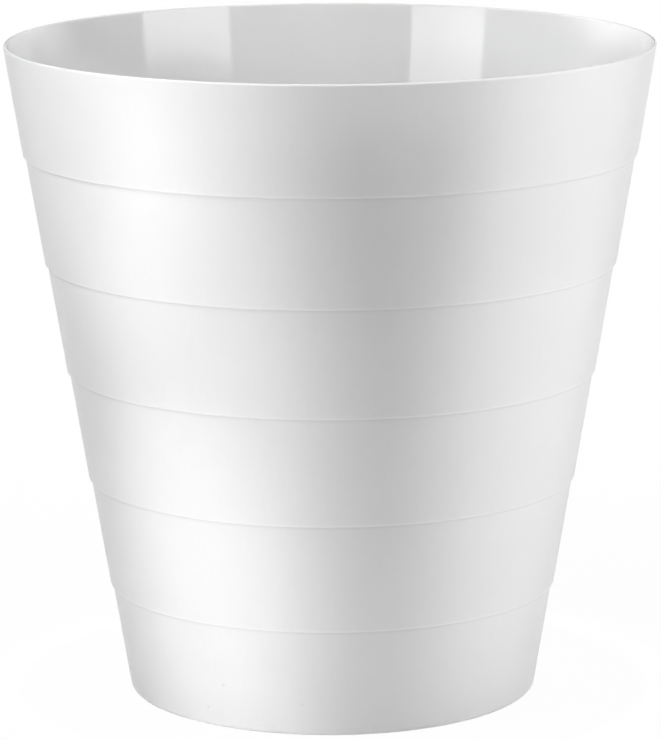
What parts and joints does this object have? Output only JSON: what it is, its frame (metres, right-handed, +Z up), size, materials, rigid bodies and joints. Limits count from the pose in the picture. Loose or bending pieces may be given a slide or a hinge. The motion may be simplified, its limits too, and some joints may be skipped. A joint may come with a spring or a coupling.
{
  "type": "wastebasket",
  "caption": "Round, tapered, open-topped plastic wastebasket, moulded in one piece, with a wall in stepped bands, a full-round lip and a lifted base on a foot ring.",
  "frame": {"origin": "on the axis, in the plane of the foot ring that the bin stands on", "axes": "+Z up along the axis of the bin; it is round, so X and Y are any two level directions"},
  "size_m": [0.278, 0.278, 0.282],
  "materials": {
    "white_plastic": "white polypropylene, satin outside with a fine mould texture, glossier inside"
  },
  "bodies": {
    "root": {"bin_body": "white_plastic"}
  },
  "joints": []
}
